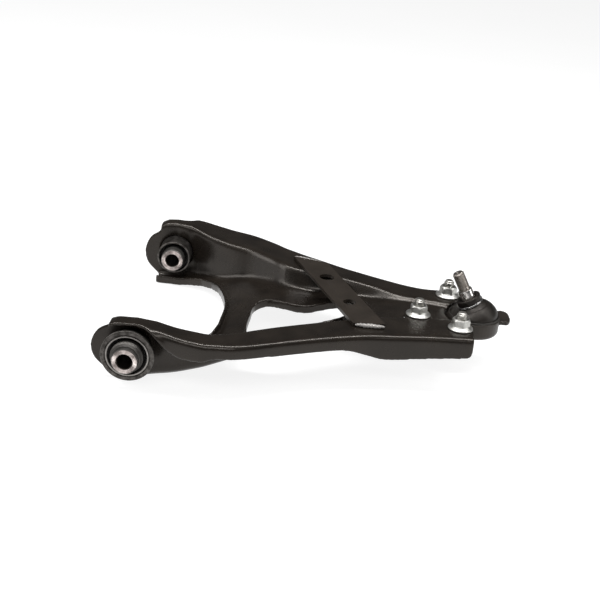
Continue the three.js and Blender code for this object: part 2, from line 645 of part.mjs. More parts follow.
// The stud, along its own axis from the ball centre.
function stud() {
  const profile = [[0, -BALL_RADIUS]];
  const neckAngle = Math.acos(NECK_RADIUS / BALL_RADIUS);
  for (let i = 1; i <= 10; i++) {
    const angle = THREE.MathUtils.lerp(-Math.PI / 2, neckAngle, i / 10);
    profile.push([BALL_RADIUS * Math.cos(angle), BALL_RADIUS * Math.sin(angle)]);
  }
  profile.push(
    [NECK_RADIUS, STUD_NECK], [SHANK_RADIUS, STUD_SHANK], [SHANK_RADIUS, STUD_THREAD - 0.8],
    [THREAD_RADIUS, STUD_THREAD], [THREAD_RADIUS, STUD_TIP - 1.2], [THREAD_RADIUS - 1.2, STUD_TIP],
    [0, STUD_TIP],
  );
  const points = profile.map(([radius, height]) => new THREE.Vector2(radius, height));
  return new THREE.LatheGeometry(points, 28).rotateX(Math.PI / 2);
}

// A ring of the boot, at a share of the way from the housing to the boot's neck on the leaning stud.
const neckCentre = new THREE.Vector3(-Math.sin(STUD_LEAN), 0, Math.cos(STUD_LEAN));
neckCentre.setLength(BOOT_NECK);
neckCentre.z += BALL_Z;
const BOOT_SEGMENTS = 28;
function bootRing(share, radius, rise = 0) {
  const base = new THREE.Vector3(0, 0, HOUSING_TOP_Z + GAP);
  const centre = base.lerp(neckCentre, share);
  const points = [];
  for (let i = 0; i < BOOT_SEGMENTS; i++) {
    const angle = (i / BOOT_SEGMENTS) * 2 * Math.PI;
    const point = new THREE.Vector3(radius * Math.cos(angle), radius * Math.sin(angle), rise);
    points.push(point.applyAxisAngle(new THREE.Vector3(0, 1, 0), -STUD_LEAN * share).add(centre));
  }
  return points;
}

// Joins rings into a closed skin; the last ring is joined to the first.
function ringLoft(rings) {
  const count = rings[0].length;
  const index = [];
  rings.forEach((ring, row) => {
    const next = ((row + 1) % rings.length) * count;
    for (let i = 0; i < count; i++) {
      const j = (i + 1) % count;
      index.push(row * count + i, row * count + j, next + j);
      index.push(row * count + i, next + j, next + i);
    }
  });
  const geometry = new THREE.BufferGeometry();
  const positions = rings.flat().flatMap((point) => point.toArray());
  geometry.setAttribute("position", new THREE.Float32BufferAttribute(positions, 3));
  geometry.setIndex(index);
  return geometry.toNonIndexed();
}

// Outer radius of the boot at each share of the way up to its neck.
const BOOT_PROFILE = [
  [0, BOOT_RADIUS], [0.2, BOOT_RADIUS], [0.4, BOOT_RADIUS - 1.3], [0.6, BOOT_RADIUS - 3.8],
  [0.8, BOOT_RADIUS - 7.4], [0.92, BOOT_RADIUS - 10.4], [1, BOOT_NECK_RADIUS],
];
function boot() {
  const bore = SHANK_RADIUS + GAP;
  const neck = (radius, rise) => bootRing(1, radius, rise);
  const outside = BOOT_PROFILE.map(([share, radius]) => bootRing(share, radius));
  const inside = BOOT_PROFILE.map(([share, radius]) => bootRing(share, radius - BOOT_WALL)).reverse();
  const collar = [
    neck(BOOT_NECK_RADIUS, BOOT_NECK_LENGTH - 0.6),
    neck(BOOT_NECK_RADIUS - 0.6, BOOT_NECK_LENGTH),
    neck(BOOT_NECK_RADIUS - 1.4, BOOT_NECK_LENGTH),
    neck(bore, BOOT_NECK_LENGTH - 1.8),
    neck(bore, 3.4),
    neck(BOOT_NECK_RADIUS - BOOT_WALL, 2),
  ];
  return ringLoft([...outside, ...collar, ...inside]);
}

function wireRing(radius) {
  const profile = [];
  for (let i = 0; i < 6; i++) {
    const angle = (i / 6) * 2 * Math.PI;
    profile.push([radius + RING_WIRE * Math.cos(angle), RING_WIRE * Math.sin(angle)]);
  }
  return turned(profile, 32);
}

// ---- Fasteners, about Z with the nut's seat at 0 ----
function bolt() {
  const under = -(SHEET + GAP + PAD_HEIGHT + PLATE_THICKNESS + GAP);
  const shank = turned([
    [0.01, under - 1], [BOLT_RADIUS, under - 1], [BOLT_RADIUS, BOLT_END - 3.5],
    [BOLT_RADIUS - 1.2, BOLT_END - 1], [BOLT_RADIUS - 3, BOLT_END], [0.01, BOLT_END],
  ], 20);
  return geometryOf(joined(
    solid(hexagon(BOLT_HEAD_FLATS, under - BOLT_HEAD_HEIGHT, under)),
    solid(bar(BOLT_HEAD_FLATS / 2 + 2, under - 1.5, under)),
    solid(shank),
  ));
}

function nut() {
  const bore = bar(BOLT_RADIUS + GAP, -5, NUT_HEIGHT + 5, 20);
  const flat = NUT_FLATS / 2;
  const flangeTop = NUT_FLANGE_HEIGHT + 1.5;
  const flange = turned([
    [2, GAP], [NUT_FLANGE_RADIUS, GAP], [NUT_FLANGE_RADIUS, GAP + 1], [flat + 0.6, flangeTop],
    [2, flangeTop],
  ]);
  const crown = turned([
    [2, GAP], [12, GAP], [flat + 1.6, NUT_HEIGHT - 2.2], [flat - 0.6, NUT_HEIGHT], [2, NUT_HEIGHT],
  ]);
  const core = solid(crown).add(solid(bar(2.1, GAP, NUT_HEIGHT)));
  const hex = solid(hexagon(NUT_FLATS, GAP, NUT_HEIGHT)).intersect(core);
  return geometryOf(cut(joined(solid(flange), hex), solid(bore)));
}

// ---- Materials ----
const paint = new THREE.MeshStandardMaterial({ color: 0x1b1917, roughness: 0.35, metalness: 0.2 });
const steel = new THREE.MeshStandardMaterial({ color: 0xa9a09a, roughness: 0.35, metalness: 0.9 });
const flangeSteel = new THREE.MeshStandardMaterial({ color: 0x5f5c59, roughness: 0.55, metalness: 0.7 });
const zinc = new THREE.MeshStandardMaterial({ color: 0xd4d7d6, roughness: 0.25, metalness: 0.95 });
const rubber = new THREE.MeshStandardMaterial({ color: 0x1d1a18, roughness: 0.75, metalness: 0 });
const forged = new THREE.MeshStandardMaterial({ color: 0x2c2723, roughness: 0.5, metalness: 0.4 });
const plastic = new THREE.MeshStandardMaterial({ color: 0xd9d4c4, roughness: 0.5, metalness: 0 });
const weldSteel = new THREE.MeshStandardMaterial({ color: 0x3a3633, roughness: 0.3, metalness: 0.6 });

// ---- Assembly ----
const group = new THREE.Group();
function place(name, geometry, material, parent = group) {
  const mesh = new THREE.Mesh(geometry, material);
  mesh.name = name;
  parent.add(mesh);
  return mesh;
}

place("arm_pressing", geometryOf(pressing()), paint);
place("cross_strap", strap(), paint);
const ends = strapCorners();
place("strap_weld_front", weld(ends.frontOutboard, ends.frontInboard, strapAxis), weldSteel);
place("strap_weld_rear", weld(ends.rearInboard, ends.rearOutboard, strapAxis.clone().negate()), weldSteel);

const bushMaterials = { outer_sleeve: flangeSteel, rubber, inner_sleeve: steel, end_stop: rubber };
const flangeFaces = { front: FRONT_WEB_Y - FLANGE_STANDOFF, rear: REAR_WEB_Y + FLANGE_STANDOFF + 2 };
for (const [end, faceY] of Object.entries(flangeFaces)) {
  const bush = new THREE.Group();
  bush.position.y = faceY;
  bush.rotation.x = end === "front" ? -Math.PI / 2 : Math.PI / 2;
  group.add(bush);
  for (const [piece, geometry] of Object.entries(bushPieces())) {
    place(`${end}_bush_${piece}`, geometry, bushMaterials[piece], bush);
  }
}

const ballJoint = new THREE.Group();
ballJoint.position.set(REACH, BALL_Y, 0);
group.add(ballJoint);
place("ball_joint_housing", housing(), forged, ballJoint);
place("ball_seat", ballSeat(), plastic, ballJoint);
place("seat_pressure_disc", pressureDisc(), steel, ballJoint);
place("ball_joint_cap", closingCap(), flangeSteel, ballJoint);
place("dust_boot", boot(), rubber, ballJoint);
const lowerRing = place("boot_lower_ring", wireRing(BOOT_RADIUS + RING_WIRE + 4 * GAP), steel, ballJoint);
lowerRing.position.z = HOUSING_TOP_Z + RING_WIRE + GAP;

const leaning = new THREE.Group();
leaning.position.z = BALL_Z;
leaning.rotation.y = -STUD_LEAN;
ballJoint.add(leaning);
place("ball_stud", stud(), steel, leaning);
const upperRing = place("boot_upper_ring", wireRing(BOOT_NECK_RADIUS + RING_WIRE + GAP), zinc, leaning);
upperRing.position.z = BOOT_NECK + 2 * RING_WIRE;

for (const [where, centre] of Object.entries(BOLTS)) {
  const stack = new THREE.Group();
  stack.position.set(centre.x, centre.y, TOP_Z);
  ballJoint.add(stack);
  place(`${where}_bolt`, bolt(), zinc, stack);
  place(`${where}_flange_nut`, nut(), zinc, stack);
}

// The origin goes to the centre of the base of the whole arm's box.
group.updateMatrixWorld(true);
const box = new THREE.Box3().setFromObject(group, true);
const centre = box.getCenter(new THREE.Vector3());
for (const child of group.children) child.position.sub(new THREE.Vector3(centre.x, centre.y, box.min.z));

export default group;
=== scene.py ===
"""Lower suspension control arm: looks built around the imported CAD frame. Metres, Z up."""
import json
import math

import bmesh
import bpy
from mathutils import Matrix, Vector


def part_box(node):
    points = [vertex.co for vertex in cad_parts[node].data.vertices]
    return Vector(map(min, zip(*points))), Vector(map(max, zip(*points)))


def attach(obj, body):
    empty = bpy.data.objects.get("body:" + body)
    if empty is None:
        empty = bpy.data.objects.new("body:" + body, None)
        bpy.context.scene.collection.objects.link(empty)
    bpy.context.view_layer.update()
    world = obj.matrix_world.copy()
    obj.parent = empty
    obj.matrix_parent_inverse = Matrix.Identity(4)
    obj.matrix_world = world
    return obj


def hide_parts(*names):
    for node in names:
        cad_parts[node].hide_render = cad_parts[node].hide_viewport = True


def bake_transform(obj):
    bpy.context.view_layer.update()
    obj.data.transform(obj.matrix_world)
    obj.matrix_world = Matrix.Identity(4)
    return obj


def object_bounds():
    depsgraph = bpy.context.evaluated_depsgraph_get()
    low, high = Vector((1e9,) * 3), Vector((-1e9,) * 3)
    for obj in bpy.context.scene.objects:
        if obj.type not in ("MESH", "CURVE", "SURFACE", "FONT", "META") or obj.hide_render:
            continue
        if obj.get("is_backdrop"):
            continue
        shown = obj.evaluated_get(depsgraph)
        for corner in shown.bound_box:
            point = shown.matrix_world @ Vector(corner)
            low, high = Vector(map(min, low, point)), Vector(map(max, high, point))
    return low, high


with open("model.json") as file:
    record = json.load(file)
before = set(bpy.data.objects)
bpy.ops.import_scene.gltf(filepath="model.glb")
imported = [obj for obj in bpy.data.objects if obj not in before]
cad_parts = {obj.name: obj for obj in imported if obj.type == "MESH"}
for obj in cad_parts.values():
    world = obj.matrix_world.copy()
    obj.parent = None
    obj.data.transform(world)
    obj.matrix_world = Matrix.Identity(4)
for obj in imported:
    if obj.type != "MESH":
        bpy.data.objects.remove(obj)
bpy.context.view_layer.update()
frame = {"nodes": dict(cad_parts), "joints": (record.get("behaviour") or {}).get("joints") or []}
bpy.ops.object.select_all(action="DESELECT")

MM = 0.001
PRESSING_VOXEL = 1.0 * MM  # grid of the pressing's skin
PRESSING_FACES = 92000  # the pressing is thinned to about this many
HOUSING_VOXEL = 0.8 * MM
BEAD_WIDE, BEAD_HIGH, BEAD_WANDER = 2.3 * MM, 2.0 * MM, 0.25 * MM
SERRATION_STEPS = 120  # radial edges round a sleeve's face
TOOTH_DEPTH = 0.45 * MM
BOOT_SIDES = 72
WARM_SHINE = (1.0, 0.93, 0.86, 1)  # the tint of paint's and rubber's highlights
# The sizes that follow are in mm.
BORE_EDGE, SIDE_EDGE = 7.5, 11.6  # radii between a sleeve's bore, face and side
TEETH_FROM, TEETH_TO = 8.0, 11.8  # radii
FLANGE_HIGHLIGHT_RIM = (17.9, 19.7)  # radii of the rim inside the flange, whose steel is painted lighter as a painted highlight
STUD_BALL = 11  # radius
BRIGHT_SHANK = (12, 26.3)  # heights over the ball's centre
WIRE_RADIUS, WIRE_PITCH, WIRE_WANDER = 0.42, 0.86, 0.12
NUT_FLATS, HEAD_FLATS = 15.2, 15.0
HEAD_HEIGHT = 6.0

Y, Z = Vector((0, 1, 0)), Vector((0, 0, 1))

JOINTS = {joint["name"]: joint for joint in frame["joints"]}
BALL = Vector(JOINTS["stud_lean"]["pos_m"])
STUD_AXIS = Vector(JOINTS["stud_spin"]["axis"]).normalized()
BUSH_AXIS = {end: Vector(JOINTS[f"{end}_bush_twist"]["pos_m"]) for end in ("front", "rear")}
OUTWARD = {"front": -Y, "rear": Y}


# ---- Materials ----
class Finish:
    """A node material on Object coordinates, with short helpers."""

    def __init__(self, name, **values):
        self.material = bpy.data.materials.new(name)
        self.material.use_nodes = True
        self.nodes = self.material.node_tree.nodes
        self.links = self.material.node_tree.links
        self.shader = self.nodes["Principled BSDF"]
        self.place = self.nodes.new("ShaderNodeTexCoord").outputs["Object"]
        for socket, value in values.items():
            self.shader.inputs[socket.replace("_", " ")].default_value = value

    def noise(self, scale, detail=4.0, roughness=0.55, stretch=None):
        node = self.nodes.new("ShaderNodeTexNoise")
        node.inputs["Scale"].default_value = scale
        node.inputs["Detail"].default_value = detail
        node.inputs["Roughness"].default_value = roughness
        source = self.place
        if stretch:
            mapping = self.nodes.new("ShaderNodeMapping")
            mapping.inputs["Scale"].default_value = stretch
            self.links.new(source, mapping.inputs["Vector"])
            source = mapping.outputs["Vector"]
        self.links.new(source, node.inputs["Vector"])
        return node.outputs["Fac"]

    def ramp(self, factor, *stops):
        node = self.nodes.new("ShaderNodeValToRGB")
        elements = node.color_ramp.elements
        while len(elements) < len(stops):
            elements.new(0.5)
        for element, (position, colour) in zip(elements, stops):
            element.position = position
            tint = colour if isinstance(colour, tuple) else (colour, colour, colour)
            element.color = (*tint, 1)
        self.links.new(factor, node.inputs["Fac"])
        return node.outputs["Color"]

    def mix(self, factor, first, second, blend="MIX"):
        node = self.nodes.new("ShaderNodeMix")
        node.data_type = "RGBA"
        node.blend_type = blend
        sockets = {entry.identifier: entry for entry in node.inputs}
        for socket, value in (("Factor_Float", factor), ("A_Color", first), ("B_Color", second)):
            if isinstance(value, bpy.types.NodeSocket):
                self.links.new(value, sockets[socket])
            elif isinstance(value, tuple):
                sockets[socket].default_value = (*value, 1)
            else:
                sockets[socket].default_value = value
        return {entry.identifier: entry for entry in node.outputs}["Result_Color"]

    def colour(self, output):
        self.links.new(output, self.shader.inputs["Base Color"])
        return self

    def rough(self, output):
        self.links.new(output, self.shader.inputs["Roughness"])
        return self

    def bump(self, *layers):
        """Each layer is (height, strength, distance in metres)."""
        normal = None
        for height, strength, distance in layers:
            node = self.nodes.new("ShaderNodeBump")
            node.inputs["Strength"].default_value = strength
            node.inputs["Distance"].default_value = distance
            self.links.new(height, node.inputs["Height"])
            if normal:
                self.links.new(normal, node.inputs["Normal"])
            normal = node.outputs["Normal"]
        self.links.new(normal, self.shader.inputs["Normal"])
        return self


def paint_finish(name, dark, light, roughness):
    paint = Finish(name, Metallic=0.0, Specular_IOR_Level=0.36, Specular_Tint=WARM_SHINE, IOR=1.5)
    cloud = paint.noise(38, 5)
    fine = paint.noise(900, 3)
    specks = paint.noise(2600, 2, 0.4)
    body = paint.ramp(cloud, (0.3, dark), (0.75, light))
    dusty = paint.ramp(specks, (0.70, 0.0), (0.80, 0.6))
    paint.colour(paint.mix(dusty, body, (0.05, 0.044, 0.038)))
    paint.rough(paint.ramp(paint.noise(26, 5), (0.3, roughness - 0.02), (0.75, roughness + 0.06)))
    return paint.bump((fine, 0.03, 0.0003), (paint.noise(120, 3), 0.05, 0.0008)).material


def steel_finish(name, dark, light, roughness, worn=None, metallic=1.0):
    steel = Finish(name, Metallic=metallic)
    streaks = steel.noise(420, 5, 0.6, (1, 6, 1))
    body = steel.ramp(streaks, (0.25, dark), (0.75, light))
    if worn:
        patches = steel.ramp(steel.noise(190, 6, 0.65), (0.42, 0.0), (0.62, 1.0))
        body = steel.mix(patches, body, worn)
    steel.colour(body)
    steel.rough(steel.ramp(steel.noise(240, 5), (0.3, roughness - 0.08), (0.75, roughness + 0.14)))
    return steel.bump((steel.noise(1500, 4), 0.14, 0.0003), (streaks, 0.08, 0.0003)).material


def rubber_finish(name, dark, light, roughness=0.62, sheen=0.06):
    rubber = Finish(name, Metallic=0.0, Specular_IOR_Level=0.26, Specular_Tint=WARM_SHINE,
                    Sheen_Weight=sheen, Sheen_Roughness=0.5)
    rubber.colour(rubber.ramp(rubber.noise(120, 6), (0.3, dark), (0.78, light)))
    rubber.rough(rubber.ramp(rubber.noise(300, 4), (0.3, roughness - 0.1), (0.8, roughness + 0.12)))
    grain, waves = rubber.noise(1400, 4), rubber.noise(260, 3)
    return rubber.bump((grain, 0.22, 0.0004), (waves, 0.15, 0.0006)).material


black_paint = paint_finish("black_paint", (0.0066, 0.0052, 0.0042), (0.0150, 0.0118, 0.0092), 0.25)
strap_paint = paint_finish("strap_paint", (0.014, 0.0112, 0.0090), (0.026, 0.0208, 0.0165), 0.33)
forged_black = paint_finish("forged_black", (0.010, 0.0083, 0.0070), (0.024, 0.0195, 0.0160), 0.38)
# Light grey for the weld beads: partly bare weld, partly a painted highlight along the beads.
weld_bare_and_highlight = paint_finish("weld_bare_and_highlight", (0.10, 0.095, 0.09), (0.36, 0.345, 0.33), 0.2)
zinc_bright = steel_finish("zinc_bright", (0.34, 0.335, 0.315), (0.56, 0.555, 0.53), 0.40)
zinc_bolt = steel_finish("zinc_bolt", (0.30, 0.29, 0.27), (0.48, 0.47, 0.44), 0.38)
stud_steel = steel_finish("stud_steel", (0.20, 0.175, 0.155), (0.42, 0.39, 0.36), 0.34)
shank_steel = steel_finish("shank_steel", (0.50, 0.47, 0.45), (0.78, 0.76, 0.74), 0.22)
sleeve_steel = steel_finish("sleeve_steel", (0.52, 0.47, 0.45), (0.78, 0.72, 0.695), 0.36,
                            worn=(0.40, 0.35, 0.33))
# Near-black steel for the sleeves' bores: painted shade inside the holes.
bore_shade_steel = steel_finish("bore_shade_steel", (0.035, 0.03, 0.026), (0.08, 0.07, 0.062), 0.5)
flange_steel = steel_finish("flange_steel", (0.050, 0.045, 0.041), (0.125, 0.116, 0.108), 0.36,
                            worn=(0.028, 0.025, 0.022), metallic=0.8)
stop_steel = steel_finish("stop_steel", (0.040, 0.037, 0.034), (0.095, 0.090, 0.084), 0.42,
                          metallic=0.7)
# Lighter steel for the rim inside each bush flange: a painted highlight.
rim_highlight_steel = steel_finish("rim_highlight_steel", (0.16, 0.15, 0.14), (0.30, 0.285, 0.27), 0.32)
wire_steel = steel_finish("wire_steel", (0.20, 0.195, 0.19), (0.36, 0.355, 0.35), 0.26)
# Near-black wire for the boot's base clip: painted shade under the boot's edge.
shade_dark_wire = steel_finish("shade_dark_wire", (0.02, 0.018, 0.016), (0.05, 0.045, 0.04), 0.5, metallic=0.4)
spring_steel = steel_finish("spring_steel", (0.30, 0.30, 0.30), (0.50, 0.50, 0.50), 0.35)
bush_rubber = rubber_finish("bush_rubber", (0.010, 0.0095, 0.009), (0.022, 0.020, 0.0185))
boot_rubber = rubber_finish("boot_rubber", (0.0050, 0.0040, 0.0033), (0.0095, 0.0076, 0.0062), 0.46,
                            sheen=0.0)
seat_plastic = rubber_finish("seat_plastic", (0.62, 0.58, 0.50), (0.74, 0.70, 0.62), 0.45)


# ---- Making pieces ----
def pick(piece):
    """Makes a piece the active one and the only one selected."""
    bpy.ops.object.select_all(action="DESELECT")
    bpy.context.view_layer.objects.active = piece
    piece.select_set(True)


def edit(piece):
    pick(piece)
    bpy.ops.object.mode_set(mode="EDIT")
    bpy.ops.mesh.select_mode(type="VERT")


def done():
    bpy.ops.object.mode_set(mode="OBJECT")
    bpy.ops.object.select_all(action="DESELECT")


def settle(piece, name, material):
    """Names a finished mesh and puts its place into its points."""
    piece.name = name
    piece.data.name = name
    piece.data.transform(piece.matrix_world)
    piece.matrix_world = Matrix.Identity(4)
    piece.data.materials.clear()
    piece.data.materials.append(material)
    return piece


def smooth(piece, degrees=32):
    pick(piece)
    bpy.ops.object.shade_smooth_by_angle(angle=math.radians(degrees))
    piece.select_set(False)
    return piece


def modified(piece, kind, **settings):
    modifier = piece.modifiers.new(kind.lower(), kind)
    for key, value in settings.items():
        setattr(modifier, key, value)
    pick(piece)
    bpy.ops.object.modifier_apply(modifier=modifier.name)
    piece.select_set(False)
    return piece


def bevelled(piece, width, segments, degrees):
    """Rounds the edges that turn by more than the angle."""
    return modified(piece, "BEVEL", width=width * MM, segments=segments,
                    limit_method="ANGLE", angle_limit=math.radians(degrees))


def combined(piece, operation, other):
    """A boolean with another mesh, which is used up."""
    modified(piece, "BOOLEAN", operation=operation, object=other, solver="EXACT")
    bpy.data.objects.remove(other)


def drawn(outline, rise=0.0):
    """Edges through (radius, height) points in mm, set higher by rise and left in edit mode."""
    radius, height = outline[0]
    bpy.ops.mesh.primitive_plane_add(size=MM, location=(radius * MM, 0, (height + rise) * MM))
    piece = bpy.context.object
    bpy.ops.object.transform_apply(location=True, rotation=True, scale=True)
    edit(piece)
    bpy.ops.mesh.select_all(action="SELECT")
    bpy.ops.mesh.merge(type="CENTER")
    for before, after in zip(outline, outline[1:]):
        step = ((after[0] - before[0]) * MM, 0, (after[1] - before[1]) * MM)
        bpy.ops.mesh.extrude_region_move(TRANSFORM_OT_translate={"value": step})
    return piece


def stand(piece, foot, axis):
    """Turns a piece made on Z to an axis that starts at foot."""
    turn = Z.rotation_difference(Vector(axis)).to_matrix().to_4x4()
    piece.matrix_world = Matrix.Translation(foot) @ turn


def turned(name, outline, foot, axis, material, steps=64):
    """An outline spun about an axis. One that starts off the axis is closed first."""
    piece = drawn(outline)
    bpy.ops.mesh.select_all(action="SELECT")
    net = bmesh.from_edit_mesh(piece.data)
    ends = [vertex for vertex in net.verts if len(vertex.link_edges) == 1]
    if len(ends) == 2 and outline[0][0] > 0:
        net.edges.new(ends)
        bmesh.update_edit_mesh(piece.data)
    bpy.ops.mesh.select_all(action="SELECT")
    bpy.ops.mesh.spin(steps=steps, angle=2 * math.pi, center=(0, 0, 0), axis=(0, 0, 1))
    bpy.ops.mesh.select_all(action="SELECT")
    bpy.ops.mesh.remove_doubles(threshold=1e-6)
    bpy.ops.mesh.normals_make_consistent(inside=False)
    done()
    stand(piece, foot, axis)
    return smooth(settle(piece, name, material))


def copied(node, name, material):
    """A copy of a CAD node, with its doubled points merged."""
    bpy.ops.object.select_all(action="DESELECT")
    source = frame["nodes"][node]
    piece = source.copy()
    piece.data = source.data.copy()
    for key in list(piece.keys()):
        del piece[key]
    piece.parent = None
    bpy.context.scene.collection.objects.link(piece)
    edit(piece)
    bpy.ops.mesh.select_all(action="SELECT")
    bpy.ops.mesh.remove_doubles(threshold=2e-5)
    done()
    return settle(piece, name, material)


def hand_over(piece, body, slot, *nodes):
    """Fixes a piece to its body, in place of the CAD nodes that it shows."""
    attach(piece, body)
    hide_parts(*nodes)


# ---- The pressing: one skin of sheet with soft drawn bends ----
pressing = copied("arm_pressing", "pressed_arm", black_paint)
modified(pressing, "REMESH", mode="VOXEL", voxel_size=PRESSING_VOXEL, adaptivity=0.0)
modified(pressing, "SMOOTH", factor=0.5, iterations=14)
faces = len(pressing.data.polygons)
modified(pressing, "DECIMATE", ratio=min(1.0, PRESSING_FACES / faces))
smooth(pressing, 60)
hand_over(pressing, "arm", "black_paint", "arm_pressing")

strap = copied("cross_strap", "cross_strap_plate", strap_paint)
edit(strap)
bpy.ops.mesh.select_all(action="SELECT")
bpy.ops.mesh.dissolve_limited(angle_limit=math.radians(4))
done()
bevelled(strap, 0.55, 3, 50)
smooth(strap, 15)
hand_over(strap, "arm", "black_paint", "cross_strap")


def weld_bead(node, name):
    """A rippled bead along the node's longest diagonal, laid level."""
    mesh = frame["nodes"][node].data
    points = [vertex.co.copy() for vertex in mesh.vertices]
    pairs = ((a, b) for a in points for b in points)
    first, last = max(pairs, key=lambda pair: (pair[0] - pair[1]).length)
    middle = sum(points, Vector()) / len(points)
    along = last - first
    along.z = 0
    length = along.length
    along.normalize()
    across = along.cross(Z).normalized()
    rings, sides = 54, 14
    bpy.ops.mesh.primitive_circle_add(vertices=sides, radius=MM, fill_type="NGON")
    piece = bpy.context.object
    edit(piece)
    bpy.ops.mesh.select_all(action="SELECT")
    start = middle - along * length / 2
    for ring in range(rings + 1):
        if ring:
            bpy.ops.mesh.extrude_region_move()
        net = bmesh.from_edit_mesh(piece.data)
        share = ring / rings
        ends = math.sin(math.pi * min(max(share, 0.012), 0.988)) ** 0.3
        ripple = 0.88 + 0.24 * abs(math.sin(share * math.pi * 8))
        turn_layer = net.verts.layers.float.get("turn") or net.verts.layers.float.new("turn")
        chosen = [vertex for vertex in net.verts if vertex.select]
        for count, vertex in enumerate(sorted(chosen, key=lambda v: v.index)):
            if ring == 0:
                vertex[turn_layer] = 2 * math.pi * count / sides
            angle = vertex[turn_layer]
            wide = BEAD_WIDE * ends * ripple * math.cos(angle)
            high = BEAD_HIGH * ends * ripple * math.sin(angle)
            wander = BEAD_WANDER * math.sin(share * 17)
            vertex.co = start + along * length * share + across * (wide + wander) + Z * high
        bmesh.update_edit_mesh(piece.data)
    bpy.ops.mesh.select_all(action="SELECT")
    bpy.ops.mesh.normals_make_consistent(inside=False)
    done()
    # The bead's light grey is partly bare weld and partly a painted highlight.
    smooth(settle(piece, name, weld_bare_and_highlight), 50)
    hand_over(piece, "arm", "weld_bead", node)


for end in ("front", "rear"):
    weld_bead(f"strap_weld_{end}", f"weld_bead_{end}")


# ---- Bushes ----
def serrate(piece, inner, outer, height_mm, axis, centre):
    """Shifts every second radial edge of an end face along the axis, which leaves teeth."""
    net = bmesh.new()
    net.from_mesh(piece.data)
    side = axis.cross(Z)
    for vertex in net.verts:
        offset = vertex.co - centre
        height = offset.dot(axis)
        radial = offset - axis * height
        if inner < radial.length / MM < outer and abs(height / MM - height_mm) < 0.05:
            angle = math.atan2(radial.dot(side), radial.dot(Z))
            if round(angle / (2 * math.pi) * SERRATION_STEPS) % 2:
                vertex.co -= axis * TOOTH_DEPTH
    net.to_mesh(piece.data)
    net.free()


for end, out in OUTWARD.items():
    body = f"{end}_inner"
    centre = BUSH_AXIS[end]
    outer, inner = (0, 1) if end == "front" else (1, 0)
    flange_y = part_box(f"{end}_bush_outer_sleeve")[outer].y
    face = Vector((centre.x, flange_y, centre.z))
    sleeve_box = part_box(f"{end}_bush_inner_sleeve")
    sleeve_out = (sleeve_box[outer].y - flange_y) * out.y / MM
    sleeve_in = (sleeve_box[inner].y - flange_y) * out.y / MM
    inner_sleeve = turned(f"{end}_inner_tube", [
        (7.0, sleeve_in + 0.7), (7.6, sleeve_in), (8.6, sleeve_in), (11.3, sleeve_in),
        (12.1, sleeve_in + 0.8), (12.1, sleeve_out - 0.8), (11.4, sleeve_out), (8.3, sleeve_out),
        (7.7, sleeve_out - 0.1), (7.0, sleeve_out - 0.8),
    ], face, out, sleeve_steel, SERRATION_STEPS)
    for height in (sleeve_out, sleeve_in):
        serrate(inner_sleeve, TEETH_FROM, TEETH_TO, height, out, face)
    smooth(inner_sleeve, 20)
    inner_sleeve.data.materials.append(bore_shade_steel)
    inner_sleeve.data.materials.append(stop_steel)
    for polygon in inner_sleeve.data.polygons:
        offset = polygon.center - face
        radius = (offset - out * offset.dot(out)).length / MM
        # Faces inside BORE_EDGE get the bore's near-black colour, painted shade inside the hole.
        if radius < BORE_EDGE:
            polygon.material_index = 1
        elif radius > SIDE_EDGE:
            polygon.material_index = 2
    hand_over(inner_sleeve, body, "sleeve_steel", f"{end}_bush_inner_sleeve")

    end_stop = turned(f"{end}_end_stop", [
        (12.4, -4.6), (14.4, -4.6), (15.0, -2.0), (15.1, 0.6), (15.2, 1.6), (15.0, 2.1),
        (14.5, 2.5), (13.9, 3.9), (13.5, 5.6), (13.1, 6.7), (12.4, 7.0),
    ], face, out, stop_steel, 80)
    hand_over(end_stop, body, "bush_rubber", f"{end}_bush_end_stop")

    outer_sleeve = turned(f"{end}_outer_tube", [
        (15.8, -45.6), (16.2, -46.0), (17.4, -46.0), (17.8, -45.6), (17.8, -4.6), (18.2, -4.0),
        (23.8, -4.0), (24.2, -3.7), (24.2, -2.9), (23.8, -2.6), (24.2, -2.3), (24.6, -2.0),
        (24.6, -0.9), (24.3, -0.5), (23.5, -0.2), (20.9, -0.1), (20.5, -0.8), (20.0, -0.9),
        (19.7, -0.2), (19.2, 0.0), (18.5, 0.0), (18.0, -0.5), (17.7, -2.0), (16.6, -6.5),
        (15.8, -7.6),
    ], face, out, flange_steel, 80)
    outer_sleeve.data.materials.append(rim_highlight_steel)
    outer_sleeve.data.materials.append(bush_rubber)
    for polygon in outer_sleeve.data.polygons:
        offset = polygon.center - face
        height = offset.dot(out) / MM
        radius = (offset - out * offset.dot(out)).length / MM
        # The rim ring gets the lighter steel, a painted highlight.
        if FLANGE_HIGHLIGHT_RIM[0] < radius < FLANGE_HIGHLIGHT_RIM[1] and height > -0.6:
            polygon.material_index = 1
        elif height > -12 and radius < FLANGE_HIGHLIGHT_RIM[0]:
            polygon.material_index = 2
    hand_over(outer_sleeve, "arm", "flange_steel", f"{end}_bush_outer_sleeve")

    rubber = turned(f"{end}_bush_block", [
        (12.5, -39.0), (13.4, -38.0), (14.6, -38.2), (15.5, -40.6), (15.5, -5.4), (14.6, -7.2),
        (13.4, -7.4), (12.5, -6.4),
    ], face, out, bush_rubber, 64)
    hand_over(rubber, "arm", "bush_rubber", f"{end}_bush_rubber")

# ---- Ball joint ----
housing = copied("ball_joint_housing", "joint_housing", forged_black)
modified(housing, "REMESH", mode="VOXEL", voxel_size=HOUSING_VOXEL, adaptivity=0.0)
modified(housing, "SMOOTH", factor=0.5, iterations=5)
smooth(housing, 60)
hand_over(housing, "arm", "forged_housing", "ball_joint_housing")

